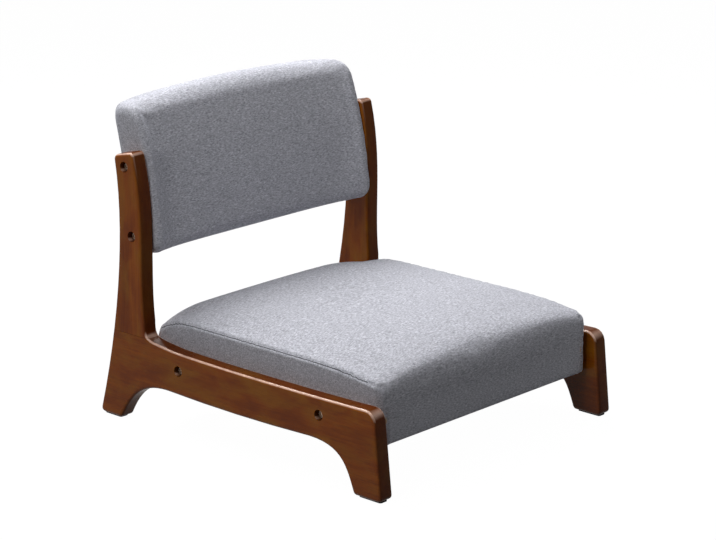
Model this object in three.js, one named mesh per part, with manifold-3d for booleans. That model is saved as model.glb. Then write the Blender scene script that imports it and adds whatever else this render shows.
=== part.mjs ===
// Low floor chair: two shaped wooden side frames carry an upholstered seat and a curved upholstered back.
// Millimetres. +Z is up, X runs across the chair, and the sitter faces -Y, so the sitter's right is -X.
// The origin lies on the floor, in the middle of the chair's width and of its whole depth.

import * as THREE from 'three';
import { mergeVertices } from 'three/addons/utils/BufferGeometryUtils.js';
import Module from 'manifold-3d';

const wasm = await Module();
wasm.setup();

// Whole chair
const overallWidth = 480;
const originReach = 3.8; // of the middle of the whole depth, behind the middle between the feet
const fitGap = 0.3; // left between pieces that meet on the real chair
const sideClearance = 0.5; // between an upholstered side and the side frame beside it
const cutOverrun = 6; // how far a cutting tool runs past the face that it opens

// Side frame, seen from the side: reaches run from the middle between the feet, heights from the floor
const frameThickness = 24;
const frameEdgeRadius = 4;
const soleCornerRadius = 6;
const toeReach = 267;
const heelReach = 266;
const frontSoleLength = 48;
const rearSoleLength = 43;
const frontShoulderReach = 254;
const frontShoulderRadius = 17;
const railTopHeight = 122;
const railTopDip = 2.6;
const railUndersideHeight = 62.5;
const railUndersideSag = 2.8;
const frontArchReach = 140;
const frontArchKneeReach = 197;
const frontArchShinReach = 205;
const frontArchShinHeight = 38;
const rearArchReach = 128;
const rearArchKneeReach = 176;
const rearArchShinReach = 200.5;
const rearArchShinHeight = 44;

// Post, the upright half of the side frame
const seamHeight = 129;
const postTopHeight = 388;
const postTopFall = 9; // from the front corner of the sawn top to its rear corner
const postTopCornerRadius = 7;
const postTopFrontReach = 187.5;
const postTopRearReach = 225;
const postBellyReach = 163;
const postShinReach = 180;
const filletTopReach = 171;
const filletTopHeight = 150;
const filletUpperReach = 172;
const filletLowerReach = 165;
const filletLowerRise = 6;
const filletEndReach = 118;
const rearEdgeLowerReach = 223.5;
const rearEdgeUpperReach = 207.5;

// Where the handles of the long curves lie, as shares of the run between the curve's ends
const postFrontHandleShares = [0.60, 0.30];
const filletHandleShare = 0.05;
const rearEdgeHandleShares = [0.38, 0.73];
const railTopHandleShares = [0.18, 0.67];
const cubicDipShare = 0.75; // the dip in a cubic's middle, as a share of how low its two handles hang

// Dowels across the glued seam
const dowelRadius = 4;
const dowelLength = 56;
const dowelRowReach = 201;
const dowelSpacing = 26;

// Felt pads under the feet
const footPadThickness = 2;
const footPadInset = 5;
const footPadCornerRadius = 3;

// Bolted joints: cap bolt in a counterbore, washer, threaded insert
const boltRadius = 3;
const boltLength = 33;
const boltHeadRadius = 5;
const boltHeadHeight = 4.5;
const boltSocketRadius = 2.9;
const boltSocketDepth = 2.6;
const counterboreRadius = 7.5;
const counterboreDepth = 11.5;
const washerRadius = 6.8;
const washerThickness = 1.2;
const insertRadius = 5;
const insertLength = 15;
const boltTipRoom = 1.5;

// Seat
const seatFrontReach = 243;
const seatRearReach = 196;
const seatUndersideHeight = 63.5;
const seatSeamHeight = 155;
const seatCrownHeight = 13;
const seatCrownPower = 3;
const seatCrownFlatness = 0.4;
const seatSideEdgeRadius = 5;
const seatRearCornerFall = 26; // how far the top drops into each rear corner
const seatRearCornerReach = 93;
const seatFrontCornerFall = 9;
const seatFrontCornerReach = 140;
const seatRearFall = 11; // how far the top drops along the whole rear edge
const seatRearFallReach = 70;
const seatEdgeFullness = 2.7; // 2 turns the top's edges on true arcs, and more makes them squarer
const seatFrontEdgeRadius = 22;
const seatRearEdgeRadius = 22;
const seatFrontCornerRadius = 14;
const seatRearCornerRadius = 45;
const seatBoxingDrawIn = 1.5;
const seatBoxingMiddleHeight = 114;
const seatBottomEdgeRadius = 3;
const seatFrontBoltSetBack = 85; // from the front of the seat
const seatRearBoltReach = 105;
const seatBoltHeight = 96;
const coverThickness = 1.5;
const seatHemWidth = 20;
const seatRailThickness = 22;
const seatRailHeight = 44;
const seatPanelThickness = 12;
const cornerBlockLeg = 60;
const cornerBlockHeight = 30;
const dustCoverThickness = 1;
const dustCoverInset = 9;

// Back, in its own leaning frame: Y runs backward through the cushion, Z up along it, from the lower bolts
const backLeanDegrees = 7;
const backUpperBoltReach = 203.6;
const backUpperBoltDrop = 23; // below the top of the post
const backBoltSpacing = 96.3;
const backFrontDepth = 30;
const backRearDepth = 33;
const backBottomDrop = 30.5;
const backTopRise = 178;
const backSagitta = 20;
const backBowPower = 5; // how flat the middle of the bow is
const backTopArch = 10;
const backTopFrontSetBack = 22;
const backTopRearSetBack = 12;
const backBellyRise = 12;
const backEndRadius = 14;
const backTopFrontRadius = 22;
const backTopRearRadius = 22;
const backBottomFrontRadius = 17;
const backBottomRearRadius = 15;
const backPanelThickness = 12;
const backPanelDepth = 2; // of its front face at the ends, behind the bolts' line
const backPanelMargin = 16;
const endBlockWidth = 28;
const endBlockFrontDepth = 10;
const endBlockRearDepth = 18;
const endBlockOverhang = 15; // past the bolts, up and down

// Facet counts
const cornerSteps = 3;
const seatSideSteps = 6;
const backSideSteps = 4;
const edgeSteps = 3;
const crownSteps = 4;
const backStations = 8;
const backCapSteps = 2;
const panelSteps = 16;
const roundSides = 16;
const boltSides = 12;
const hexSides = 6;
const rectangleCorners = 4;
const longCurveSteps = 13;
const shortCurveSteps = 4;
const frameEdgeSteps = 3;

// Places worked out from the sizes above
const halfWidth = overallWidth / 2;
const frameInnerFace = halfWidth - frameThickness;
const cushionHalfWidth = frameInnerFace - sideClearance;
const coreInset = coverThickness + fitGap; // from a cushion's outside to what fills its cover
const woodHalfWidth = cushionHalfWidth - coreInset;
const soleHeight = footPadThickness + fitGap;
const backLean = THREE.MathUtils.degToRad(backLeanDegrees);
const backLowerBoltReach = backUpperBoltReach - backBoltSpacing * Math.sin(backLean);
const backUpperBoltHeight = postTopHeight - backUpperBoltDrop;
const backLowerBoltHeight = backUpperBoltHeight - backBoltSpacing * Math.cos(backLean);
const washerFace = halfWidth - counterboreDepth + fitGap; // inner face of a washer, from the chair's middle
const boltHeadFace = washerFace + washerThickness + fitGap;
const boltTip = boltHeadFace - boltLength;
const seatRailTop = seatUndersideHeight + coreInset + seatRailHeight;
const seatPanelTop = seatRailTop + fitGap + seatPanelThickness;

// Materials
const finish = (color, roughness, metalness) => (
  new THREE.MeshStandardMaterial({ color, roughness, metalness }));
const lacqueredWood = () => finish(0x6e3f22, 0.35, 0);
const innerWood = () => finish(0xc9a878, 0.7, 0);
const seatFabric = () => finish(0x7c8087, 0.95, 0);
const paddingFoam = () => finish(0xe6dfc4, 0.9, 0);
const boltSteel = () => finish(0x6f6a62, 0.4, 1);
const padFelt = () => finish(0x2c2a28, 1, 0);
const liningCloth = () => finish(0x1c1c1e, 0.95, 0);

// Solids: a closed geometry becomes a solid once its shared corners are one point each
function solidOf(geometry) {
  const bare = geometry.clone();
  bare.deleteAttribute('normal');
  bare.deleteAttribute('uv');
  const merged = mergeVertices(bare);
  const index = Array.from(merged.index.array);
  const corners = Array.from({ length: index.length / 3 }, (_, i) => index.slice(3 * i, 3 * i + 3));
  const triangles = corners.filter(([a, b, c]) => a !== b && b !== c && c !== a);
  const mesh = new wasm.Mesh({
    numProp: 3,
    vertProperties: merged.attributes.position.array,
    triVerts: Uint32Array.from(triangles.flat()),
  });
  return new wasm.Manifold(mesh);
}

function piece(name, solid, material) {
  const mesh = solid.getMesh();
  const geometry = new THREE.BufferGeometry();
  geometry.setAttribute('position', new THREE.BufferAttribute(mesh.vertProperties, 3));
  geometry.setIndex(new THREE.BufferAttribute(mesh.triVerts, 1));
  geometry.computeVertexNormals();
  const result = new THREE.Mesh(geometry, material);
  result.name = name;
  return result;
}

const cutFrom = (solid, tools) => tools.reduce((rest, tool) => rest.subtract(tool), solid);

function boxBetween([lowX, lowY, lowZ], [highX, highY, highZ]) {
  const geometry = new THREE.BoxGeometry(highX - lowX, highY - lowY, highZ - lowZ);
  return solidOf(geometry.translate((lowX + highX) / 2, (lowY + highY) / 2, (lowZ + highZ) / 2));
}

// A box on the chair's left, or its mirror image on the right
function sideBox(side, [nearX, lowY, lowZ], [farX, highY, highZ]) {
  const [lowX, highX] = side > 0 ? [nearX, farX] : [-farX, -nearX];
  return boxBetween([lowX, lowY, lowZ], [highX, highY, highZ]);
}

// A turned form whose profile holds (radius, distance along its axis); the axis points out of the side
function turnedAlongX(side, profile, place, sides = boltSides) {
  const points = profile.map(([radius, along]) => new THREE.Vector2(radius, along));
  const geometry = new THREE.LatheGeometry(points, sides);
  return solidOf(geometry.rotateZ(-side * (Math.PI / 2)).translate(0, place.y, place.z));
}

function barAlongX(side, radius, from, to, place, sides = boltSides) {
  return turnedAlongX(side, [[0, from], [radius, from], [radius, to], [0, to]], place, sides);
}

function tubeAlongX(side, bore, radius, from, to, place) {
  return turnedAlongX(side, [[bore, from], [radius, from], [radius, to], [bore, to], [bore, from]], place);
}

// A closed skin through rings of points, each running counter-clockwise when seen from the last ring
function loft(rings) {
  const count = rings[0].length;
  const middle = (ring) => ring.reduce((sum, p) => sum.add(p), new THREE.Vector3()).divideScalar(count);
  const points = [...rings.flat(), middle(rings[0]), middle(rings.at(-1))];
  const lastMiddle = points.length - 1;
  const lastRing = (rings.length - 1) * count;
  const index = [];
  for (let i = 0; i < count; i += 1) {
    const j = (i + 1) % count;
    index.push(lastMiddle - 1, j, i);
    index.push(lastMiddle, lastRing + i, lastRing + j);
    for (let r = 0; r < lastRing; r += count) {
      index.push(r + i, r + j, r + count + j);
      index.push(r + i, r + count + j, r + count + i);
    }
  }
  const geometry = new THREE.BufferGeometry().setFromPoints(points);
  geometry.setIndex(index);
  return solidOf(geometry);
}

// A rectangle with round corners, as points with their outward directions, counter-clockwise.
// The radii follow the corners: low on the right, high on the right, high on the left, low on the left.
function roundedRectangle(low, high, radii, sideSteps) {
  const corners = [
    { x: high.x, y: low.y, inward: [-1, 1] },
    { x: high.x, y: high.y, inward: [-1, -1] },
    { x: low.x, y: high.y, inward: [1, -1] },
    { x: low.x, y: low.y, inward: [1, 1] },
  ];
  const arcs = corners.map((corner, k) => {
    const [inwardX, inwardY] = corner.inward;
    const centre = new THREE.Vector2(corner.x + inwardX * radii[k], corner.y + inwardY * radii[k]);
    return Array.from({ length: cornerSteps + 1 }, (_, i) => {
      const angle = (k - 1 + i / cornerSteps) * (Math.PI / 2);
      const outward = new THREE.Vector2(Math.cos(angle), Math.sin(angle));
      return { at: centre.clone().addScaledVector(outward, radii[k]), outward };
    });
  });
  return arcs.flatMap((arc, k) => {
    const from = arc.at(-1);
    const to = arcs[(k + 1) % arcs.length][0];
    const straight = Array.from({ length: sideSteps - 1 }, (_, i) => ({
      at: from.at.clone().lerp(to.at, (i + 1) / sideSteps),
      outward: from.outward,
    }));
    return [...arc, ...straight];
  });
}

// Side frames: outline of base and post together, as if each were one board
const at = (reach, height) => new THREE.Vector2(reach, height);
const between = (from, to, share) => from + (to - from) * share;
const cubic = (a, b, c, d) => new THREE.CubicBezierCurve(a, b, c, d).getPoints(longCurveSteps);

// A round corner: an arc that touches the line from the corner to each of its neighbours
function turn(before, corner, after, radius) {
  const back = before.clone().sub(corner).normalize();
  const ahead = after.clone().sub(corner).normalize();
  const halfAngle = Math.acos(back.dot(ahead)) / 2;
  const inward = back.clone().add(ahead).normalize();
  const centre = corner.clone().addScaledVector(inward, radius / Math.sin(halfAngle));
  const start = corner.clone().addScaledVector(back, radius / Math.tan(halfAngle)).sub(centre);
  const sweep = Math.sign(ahead.cross(back)) * (Math.PI - 2 * halfAngle);
  return Array.from({ length: shortCurveSteps + 1 }, (_, i) => (
    start.clone().rotateAround(new THREE.Vector2(), sweep * (i / shortCurveSteps)).add(centre)));
}

function rearEdge(heel, rearInstep, topRear, topFront) {
  const [lowerShare, upperShare] = rearEdgeHandleShares;
  const lower = at(rearEdgeLowerReach, between(heel.y, topRear.y, lowerShare));
  const upper = at(rearEdgeUpperReach, between(heel.y, topRear.y, upperShare));
  const heelTurn = turn(rearInstep, heel, lower, soleCornerRadius);
  const topTurn = turn(upper, topRear, topFront, postTopCornerRadius);
  return [...heelTurn, ...cubic(heelTurn.at(-1), lower, upper, topTurn[0]), ...topTurn];
}

function postFrontEdge(topRear, topFront, filletEnd) {
  const [bellyShare, shinShare] = postFrontHandleShares;
  const filletTop = at(filletTopReach, filletTopHeight);
  const belly = at(postBellyReach, between(filletTop.y, topFront.y, bellyShare));
  const shin = at(postShinReach, between(filletTop.y, topFront.y, shinShare));
  const filletUpper = at(filletUpperReach, between(filletEnd.y, filletTop.y, filletHandleShare));
  const filletLower = at(filletLowerReach, filletEnd.y + filletLowerRise);
  const topTurn = turn(topRear, topFront, belly, postTopCornerRadius);
  return [
    ...topTurn,
    ...cubic(topTurn.at(-1), belly, shin, filletTop),
    ...cubic(filletTop, filletUpper, filletLower, filletEnd),
  ];
}

function railTopEdge(filletEnd, shoulder, toe) {
  const [rearShare, frontShare] = railTopHandleShares;
  const shoulderTurn = turn(filletEnd, shoulder, toe, frontShoulderRadius);
  const handleHeight = railTopHeight - railTopDip / cubicDipShare;
  const rear = at(between(filletEnd.x, shoulderTurn[0].x, rearShare), handleHeight);
  const front = at(between(filletEnd.x, shoulderTurn[0].x, frontShare), handleHeight);
  return [...cubic(filletEnd, rear, front, shoulderTurn[0]), ...shoulderTurn];
}

function undersideEdge(shoulder, toe, heel) {
  const frontInstep = at(frontSoleLength - toeReach, soleHeight);
  const frontShin = at(-frontArchShinReach, frontArchShinHeight);
  const frontKnee = at(-frontArchKneeReach, railUndersideHeight);
  const frontArch = at(-frontArchReach, railUndersideHeight);
  const sagHandle = at((rearArchReach - frontArchReach) / 2, railUndersideHeight - 2 * railUndersideSag);
  const rearArch = at(rearArchReach, railUndersideHeight);
  const rearKnee = at(rearArchKneeReach, railUndersideHeight);
  const rearShin = at(rearArchShinReach, rearArchShinHeight);
  const rearInstep = at(heelReach - rearSoleLength, soleHeight);
  const frontTurn = turn(toe, frontInstep, frontShin, soleCornerRadius);
  const rearTurn = turn(rearShin, rearInstep, heel, soleCornerRadius);
  return [
    ...turn(shoulder, toe, frontInstep, soleCornerRadius),
    ...frontTurn,
    ...cubic(frontTurn.at(-1), frontShin, frontKnee, frontArch),
    ...new THREE.QuadraticBezierCurve(frontArch, sagHandle, rearArch).getPoints(shortCurveSteps),
    ...cubic(rearArch, rearKnee, rearShin, rearTurn[0]),
    ...rearTurn,
  ];
}

function sideOutline() {
  const heel = at(heelReach, soleHeight);
  const toe = at(-toeReach, soleHeight);
  const rearInstep = at(heelReach - rearSoleLength, soleHeight);
  const topRear = at(postTopRearReach, postTopHeight - postTopFall);
  const topFront = at(postTopFrontReach, postTopHeight);
  const filletEnd = at(filletEndReach, railTopHeight);
  const shoulder = at(-frontShoulderReach, railTopHeight);
  const points = [
    ...rearEdge(heel, rearInstep, topRear, topFront),
    ...postFrontEdge(topRear, topFront, filletEnd),
    ...railTopEdge(filletEnd, shoulder, toe),
    ...undersideEdge(shoulder, toe, heel),
  ];
  return points.filter((point, i) => point.distanceTo(points.at(i - 1)) > fitGap);
}

// The board's profile is drawn in X and Y, then stood up in Y and Z with its faces towards the chair's sides
function sideBoard(side) {
  const standing = new THREE.Matrix4().makeBasis(
    new THREE.Vector3(0, 1, 0),
    new THREE.Vector3(0, 0, 1),
    new THREE.Vector3(1, 0, 0),
  );
  const geometry = new THREE.ExtrudeGeometry(new THREE.Shape(sideOutline()), {
    depth: frameThickness - 2 * frameEdgeRadius,
    steps: 1,
    bevelThickness: frameEdgeRadius,
    bevelSize: frameEdgeRadius,
    bevelOffset: -frameEdgeRadius,
    bevelSegments: frameEdgeSteps,
  });
  geometry.translate(0, 0, frameEdgeRadius - frameThickness / 2).applyMatrix4(standing);
  return solidOf(geometry.translate(side * (halfWidth - frameThickness / 2), 0, 0));
}

// Where the bolts cross the side frames
const place = (reach, height) => new THREE.Vector3(0, reach, height);
const seatBolts = {
  seat_front: place(seatFrontBoltSetBack - seatFrontReach, seatBoltHeight),
  seat_rear: place(seatRearBoltReach, seatBoltHeight),
};
const backBolts = {
  back_lower: place(backLowerBoltReach, backLowerBoltHeight),
  back_upper: place(backUpperBoltReach, backUpperBoltHeight),
};

function frameBoltHoles(side, bolts) {
  const outside = halfWidth + cutOverrun;
  return Object.values(bolts).flatMap((bolt) => [
    barAlongX(side, counterboreRadius, halfWidth - counterboreDepth, outside, bolt, roundSides),
    barAlongX(side, boltRadius + fitGap, frameInnerFace - cutOverrun, outside, bolt),
  ]);
}

// A hole for a bolt and its insert in the wood inside a cover, opened through the cover's side
function insertHole(side, bolt) {
  return turnedAlongX(side, [
    [0, boltTip - boltTipRoom],
    [boltRadius + fitGap, boltTip - boltTipRoom],
    [boltRadius + fitGap, woodHalfWidth - insertLength - fitGap],
    [insertRadius + fitGap, woodHalfWidth - insertLength - fitGap],
    [insertRadius + fitGap, frameInnerFace],
    [0, frameInnerFace],
  ], bolt);
}

function coverHole(side, bolt) {
  return barAlongX(side, insertRadius, woodHalfWidth - cutOverrun, frameInnerFace + cutOverrun, bolt);
}

function dowelHolder(side, reach, grow) {
  const length = dowelLength + 2 * grow;
  const geometry = new THREE.CylinderGeometry(dowelRadius + grow, dowelRadius + grow, length, boltSides);
  geometry.rotateX(Math.PI / 2).translate(side * (halfWidth - frameThickness / 2), reach, seamHeight);
  return solidOf(geometry);
}

function footPad(side, lowReach, highReach) {
  const low = at(frameInnerFace + footPadInset, lowReach + footPadInset);
  const high = at(halfWidth - footPadInset, highReach - footPadInset);
  const radii = Array(rectangleCorners).fill(footPadCornerRadius);
  const outline = roundedRectangle(low, high, radii, 1).map((point) => point.at);
  const shape = new THREE.Shape(outline);
  const geometry = new THREE.ExtrudeGeometry(shape, { depth: footPadThickness, bevelEnabled: false });
  if (side < 0) geometry.translate(-overallWidth + frameThickness, 0, 0);
  return solidOf(geometry);
}

function sideFrame(side, sideName) {
  const board = sideBoard(side);
  const roof = [overallWidth, 2 * heelReach, 2 * postTopHeight];
  const abovePost = boxBetween([-overallWidth, -2 * toeReach, seamHeight + fitGap], roof);
  const aboveBase = boxBetween([-overallWidth, -2 * toeReach, seamHeight], roof);
  const dowelReaches = { front: dowelRowReach - dowelSpacing / 2, rear: dowelRowReach + dowelSpacing / 2 };
  const dowelHoles = Object.values(dowelReaches).map((reach) => dowelHolder(side, reach, fitGap));
  const base = cutFrom(board, [aboveBase, ...frameBoltHoles(side, seatBolts), ...dowelHoles]);
  const post = cutFrom(board.intersect(abovePost), [...frameBoltHoles(side, backBolts), ...dowelHoles]);
  const frame = new THREE.Group();
  frame.add(piece(`${sideName}_side_base`, base, lacqueredWood()));
  frame.add(piece(`${sideName}_side_post`, post, lacqueredWood()));
  Object.entries(dowelReaches).forEach(([end, reach]) => {
    frame.add(piece(`${sideName}_${end}_dowel`, dowelHolder(side, reach, 0), innerWood()));
  });
  const frontPad = footPad(side, -toeReach, frontSoleLength - toeReach);
  const rearPad = footPad(side, heelReach - rearSoleLength, heelReach);
  frame.add(piece(`${sideName}_front_foot_pad`, frontPad, padFelt()));
  frame.add(piece(`${sideName}_rear_foot_pad`, rearPad, padFelt()));
  return frame;
}

// Hardware
function capBolt(side, bolt) {
  const headTop = boltHeadFace + boltHeadHeight;
  const body = turnedAlongX(side, [
    [0, boltTip],
    [boltRadius, boltTip],
    [boltRadius, boltHeadFace],
    [boltHeadRadius, boltHeadFace],
    [boltHeadRadius, headTop],
    [0, headTop],
  ], bolt);
  const socketFloor = headTop - boltSocketDepth;
  return body.subtract(barAlongX(side, boltSocketRadius, socketFloor, headTop + cutOverrun, bolt, hexSides));
}

function boltSet(side, name, bolt) {
  const set = new THREE.Group();
  const bore = boltRadius + fitGap;
  const washer = tubeAlongX(side, bore, washerRadius, washerFace, washerFace + washerThickness, bolt);
  const insert = tubeAlongX(side, bore, insertRadius, woodHalfWidth - insertLength, woodHalfWidth, bolt);
  set.add(piece(`${name}_bolt`, capBolt(side, bolt), boltSteel()));
  set.add(piece(`${name}_washer`, washer, boltSteel()));
  set.add(piece(`${name}_insert`, insert, boltSteel()));
  return set;
}

// Seat: the cushion's form, drawn in all round by an inset for the inside of its cover and for its filling
const seatMiddle = (seatRearReach - seatFrontReach) / 2;
const seatHalfDepth = (seatRearReach + seatFrontReach) / 2;

function seatTop(x, y) {
  const fall = (share) => (1 - Math.min(1, Math.abs(share)) ** seatCrownPower) ** seatCrownFlatness;
  const crown = seatCrownHeight * fall(x / cushionHalfWidth) * fall((y - seatMiddle) / seatHalfDepth);
  const fading = (distance, reach) => Math.max(0, 1 - distance / reach) ** 2;
  const toSide = cushionHalfWidth - Math.abs(x);
  const toFront = y + seatFrontReach;
  const toRear = seatRearReach - y;
  const frontCorner = seatFrontCornerFall * fading(Math.hypot(toSide, toFront), seatFrontCornerReach);
  const rearCorner = seatRearCornerFall * fading(Math.hypot(toSide, toRear), seatRearCornerReach);
  const rear = seatRearFall * fading(toRear, seatRearFallReach);
  return seatSeamHeight + crown - frontCorner - rearCorner - rear;
}

function seatOutline(inset, sideDrop, frontDrop, rearDrop) {
  const low = at(sideDrop + inset - cushionHalfWidth, frontDrop + inset - seatFrontReach);
  const high = at(cushionHalfWidth - inset - sideDrop, seatRearReach - inset - rearDrop);
  const frontRadius = seatFrontCornerRadius - (inset + (sideDrop + frontDrop) / 2) / 2;
  const rearRadius = seatRearCornerRadius - (inset + (sideDrop + rearDrop) / 2);
  return roundedRectangle(low, high, [frontRadius, rearRadius, rearRadius, frontRadius], seatSideSteps);
}

function seatEdgeRing(inset, turnShare) {
  const angle = turnShare * (Math.PI / 2);
  const inwardShare = 1 - Math.cos(angle) ** (2 / seatEdgeFullness);
  const downShare = 1 - Math.sin(angle) ** (2 / seatEdgeFullness);
  const [sideDrop, frontDrop, rearDrop] = [seatSideEdgeRadius, seatFrontEdgeRadius, seatRearEdgeRadius]
    .map((radius) => (radius - inset) * inwardShare);
  return seatOutline(inset, sideDrop, frontDrop, rearDrop).map(({ at: point, outward }) => {
    const endRadius = outward.y < 0 ? seatFrontEdgeRadius : seatRearEdgeRadius;
    const radius = seatSideEdgeRadius * outward.x ** 2 + endRadius * outward.y ** 2 - inset;
    return new THREE.Vector3(point.x, point.y, seatTop(point.x, point.y) - inset - radius * downShare);
  });
}

function seatForm(inset) {
  const level = (height, drawIn) => seatOutline(inset + drawIn, 0, 0, 0)
    .map(({ at: point }) => new THREE.Vector3(point.x, point.y, height));
  const edge = Array.from({ length: edgeSteps + 1 }, (_, i) => seatEdgeRing(inset, i / edgeSteps));
  const crown = Array.from({ length: crownSteps }, (_, i) => {
    const share = 1 - (i + 1) / (crownSteps + 1);
    return edge.at(-1).map((point) => {
      const x = point.x * share;
      const y = between(seatMiddle, point.y, share);
      return new THREE.Vector3(x, y, seatTop(x, y) - inset);
    });
  });
  return loft([
    level(seatUndersideHeight + inset, seatBottomEdgeRadius),
    level(seatUndersideHeight + inset + seatBottomEdgeRadius, 0),
    level(seatRailTop, 0),
    level(seatBoxingMiddleHeight, seatBoxingDrawIn),
    ...edge,
    ...crown,
  ]);
}

function seatCover(boltHoles) {
  const openHalfWidth = cushionHalfWidth - seatHemWidth;
  const hemOpening = boxBetween(
    [-openHalfWidth, seatHemWidth - seatFrontReach, seatUndersideHeight - cutOverrun],
    [openHalfWidth, seatRearReach - seatHemWidth, seatUndersideHeight + coreInset],
  );
  return cutFrom(seatForm(0), [seatForm(coverThickness), hemOpening, ...boltHoles]);
}

function seatRails(core, insertHoles) {
  const low = seatUndersideHeight + coreInset;
  const sideRailInner = woodHalfWidth - seatRailThickness;
  const frontRail = [coreInset - seatFrontReach, coreInset - seatFrontReach + seatRailThickness];
  const rearRail = [seatRearReach - coreInset - seatRailThickness, seatRearReach - coreInset];
  const across = ([lowY, highY]) => (
    boxBetween([-woodHalfWidth, lowY, low], [woodHalfWidth, highY, seatRailTop]));
  const along = (side) => cutFrom(sideBox(side,
    [sideRailInner, frontRail[1] + fitGap, low],
    [woodHalfWidth, rearRail[0] - fitGap, seatRailTop]), insertHoles);
  const rails = {
    seat_front_rail: across(frontRail),
    seat_rear_rail: across(rearRail),
    seat_right_rail: along(-1),
    seat_left_rail: along(1),
  };
  return Object.entries(rails).map(([name, rail]) => piece(name, rail.intersect(core), innerWood()));
}

// Three-cornered blocks glued into the corners of the seat frame
function cornerBlock(side, end) {
  const cornerX = woodHalfWidth - seatRailThickness - fitGap;
  const reach = end < 0 ? seatFrontReach : seatRearReach;
  const cornerY = end * (reach - coreInset - seatRailThickness - fitGap);
  const outline = [
    at(side * cornerX, cornerY),
    at(side * (cornerX - cornerBlockLeg), cornerY),
    at(side * cornerX, cornerY - end * cornerBlockLeg),
  ];
  const shape = new THREE.Shape(outline);
  const geometry = new THREE.ExtrudeGeometry(shape, { depth: cornerBlockHeight, bevelEnabled: false });
  return solidOf(geometry.translate(0, 0, seatRailTop - fitGap - cornerBlockHeight));
}

function seat() {
  const core = seatForm(coreInset);
  const bolts = [-1, 1].flatMap((side) => Object.values(seatBolts).map((bolt) => [side, bolt]));
  const coverHoles = bolts.map(([side, bolt]) => coverHole(side, bolt));
  const roof = 2 * seatSeamHeight;
  const slab = (low, high) => (
    boxBetween([-overallWidth, -2 * toeReach, low], [overallWidth, 2 * heelReach, high]));
  const group = new THREE.Group();
  group.add(piece('seat_cover', seatCover(coverHoles), seatFabric()));
  group.add(piece('seat_foam', core.intersect(slab(seatPanelTop + fitGap, roof)), paddingFoam()));
  group.add(piece('seat_panel', core.intersect(slab(seatRailTop + fitGap, seatPanelTop)), innerWood()));
  group.add(...seatRails(core, bolts.map(([side, bolt]) => insertHole(side, bolt))));
  group.add(piece('seat_right_front_corner_block', cornerBlock(-1, -1), innerWood()));
  group.add(piece('seat_left_front_corner_block', cornerBlock(1, -1), innerWood()));
  group.add(piece('seat_right_rear_corner_block', cornerBlock(-1, 1), innerWood()));
  group.add(piece('seat_left_rear_corner_block', cornerBlock(1, 1), innerWood()));
  const dustCoverTop = seatUndersideHeight - fitGap;
  const dustCover = boxBetween(
    [dustCoverInset - cushionHalfWidth, dustCoverInset - seatFrontReach, dustCoverTop - dustCoverThickness],
    [cushionHalfWidth - dustCoverInset, seatRearReach - dustCoverInset, dustCoverTop],
  );
  group.add(piece('seat_dust_cover', dustCover, liningCloth()));
  return group;
}

// Back: sections across the chair, bowed backward in the middle, each with a top that falls back
const bowAt = (x) => backSagitta * (1 - Math.abs(x / cushionHalfWidth) ** backBowPower);
const archAt = (x) => backTopArch * (1 - (x / cushionHalfWidth) ** 2);

function backSection(x, inset, endInset) {
  const drawn = inset + endInset;
  const low = at(drawn - backFrontDepth, drawn - backBottomDrop);
  const high = at(backRearDepth - drawn, backTopRise - drawn);
  const radii = [backBottomRearRadius, backTopRearRadius, backTopFrontRadius, backBottomFrontRadius];
  const roundness = radii.map((radius) => radius - drawn / 2 - endInset / 4);
  return roundedRectangle(low, high, roundness, backSideSteps).map(({ at: point }) => {
    const rise = Math.max(0, point.y - backBellyRise) / (backTopRise - backBellyRise);
    const frontShare = (high.x - point.x) / (high.x - low.x);
    const height = (point.y + backBottomDrop) / (backTopRise + backBottomDrop);
    const setBack = between(backTopRearSetBack, backTopFrontSetBack, frontShare) * rise ** 2;
    const depth = point.x + setBack + bowAt(x);
    return new THREE.Vector3(x, depth, point.y + archAt(x) * height);
  });
}

function backForm(inset) {
  const endRadius = backEndRadius - inset;
  const straightHalf = cushionHalfWidth - inset - endRadius;
  const middle = Array.from({ length: backStations }, (_, i) => {
    const angle = ((i + 1) / (backStations + 1) - 1 / 2) * Math.PI; // stations lie closer near the ends
    return backSection(straightHalf * Math.sin(angle), inset, 0);
  });
  const endTurn = (side) => Array.from({ length: edgeSteps + 1 }, (_, i) => {
    const angle = (1 - i / edgeSteps) * (Math.PI / 2);
    const x = side * (straightHalf + endRadius * Math.cos(angle));
    return backSection(x, inset, endRadius * (1 - Math.sin(angle)));
  });
  const cap = (ring) => Array.from({ length: backCapSteps }, (_, i) => {
    const centre = ring.reduce((sum, p) => sum.add(p), new THREE.Vector3()).divideScalar(ring.length);
    return ring.map((point) => point.clone().lerp(centre, (i + 1) / (backCapSteps + 1)));
  });
  const rightEnd = endTurn(-1);
  const leftEnd = endTurn(1);
  return loft([
    ...cap(rightEnd.at(-1)).reverse(),
    ...rightEnd.reverse(),
    ...middle,
    ...leftEnd,
    ...cap(leftEnd.at(-1)),
  ]);
}

// An upright slab between two bowed faces, as deep as given at the ends and bowed as the cushion is
function bowedSlab(frontDepth, rearDepth, halfSpan, lowZ, highZ) {
  const stations = Array.from({ length: panelSteps + 1 }, (_, i) => (
    between(-cushionHalfWidth, cushionHalfWidth, i / panelSteps)));
  const front = stations.map((x) => at(x, frontDepth + bowAt(x)));
  const rear = stations.map((x) => at(x, rearDepth + bowAt(x))).reverse();
  const shape = new THREE.Shape([...front, ...rear]);
  const geometry = new THREE.ExtrudeGeometry(shape, { depth: highZ - lowZ, bevelEnabled: false });
  const slab = solidOf(geometry.translate(0, 0, lowZ));
  const reach = overallWidth;
  return slab.intersect(boxBetween([-halfSpan, -reach, lowZ - reach], [halfSpan, reach, highZ + reach]));
}

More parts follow.
